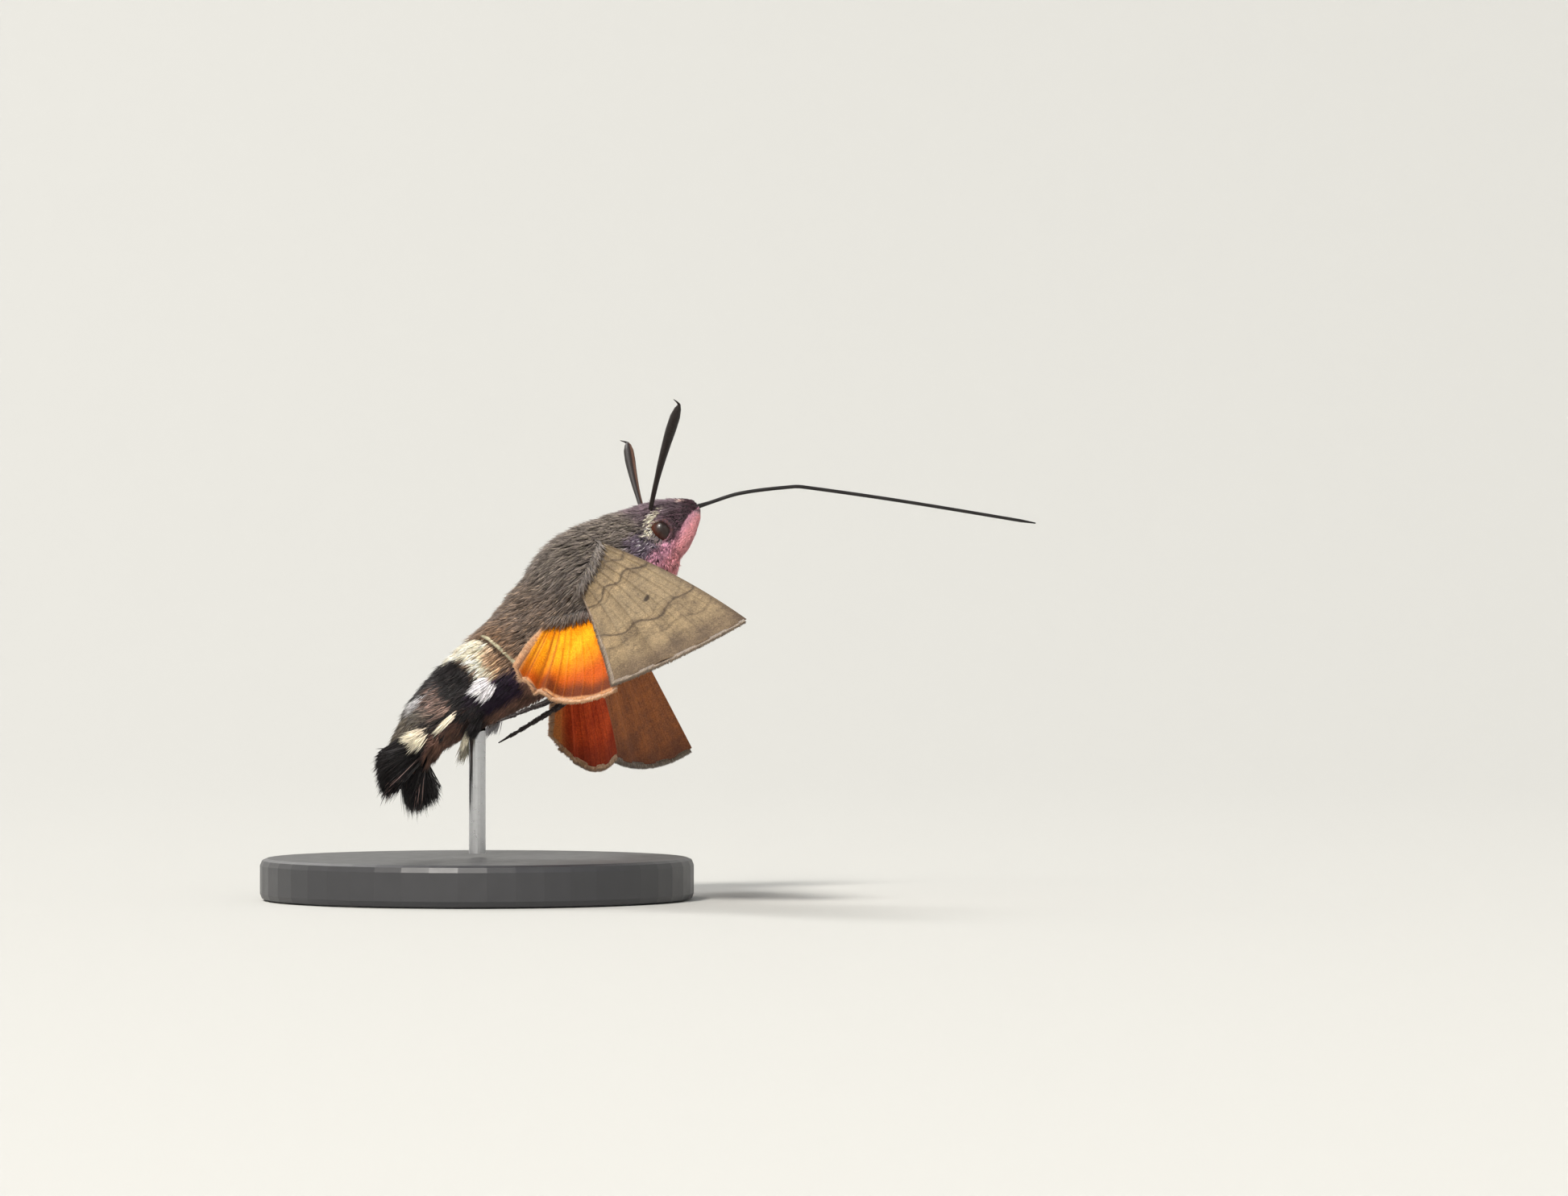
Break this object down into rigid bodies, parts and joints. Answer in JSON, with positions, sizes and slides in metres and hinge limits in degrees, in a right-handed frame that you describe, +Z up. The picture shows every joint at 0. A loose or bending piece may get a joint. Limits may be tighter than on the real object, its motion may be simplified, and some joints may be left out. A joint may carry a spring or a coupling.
{
  "type": "hummingbird hawk moth",
  "caption": "Hovering hummingbird hawk moth with spread wings, a tail fan and a long tongue, held up by a rod on a round base.",
  "frame": {"origin": "middle of the stand base's underside, below the rod", "axes": "+Z up along the rod, +X the way the moth faces, +Y to its left"},
  "size_m": [0.0561, 0.0383, 0.0357],
  "materials": {
    "fur": "short dense grey-brown fur",
    "abdomen": "short dense fur with pale and black tufts",
    "tail": "black hair scales",
    "palp": "pale pink scales",
    "eye": "dark gloss",
    "feeler": "dark brown scales",
    "forewing": "grey-brown wing scales",
    "hindwing": "orange wing scales",
    "leg": "dark scales",
    "base": "satin dark grey paint",
    "rod": "brushed"
  },
  "bodies": {
    "root": {"head": "fur", "thorax": "fur", "abdomen": "abdomen", "tail_fan": "tail", "eye_left": "eye", "eye_right": "eye", "palp_left": "palp", "palp_right": "palp", "tongue": "feeler", "antenna_left": "feeler", "antenna_right": "feeler", "forewing_left": "forewing", "forewing_right": "forewing", "hindwing_left": "hindwing", "hindwing_right": "hindwing", "leg_front_left": "leg", "leg_front_right": "leg", "leg_middle_left": "leg", "leg_middle_right": "leg", "leg_hind_left": "leg", "leg_hind_right": "leg", "stand_base": "base", "stand_rod": "rod"}
  },
  "joints": []
}
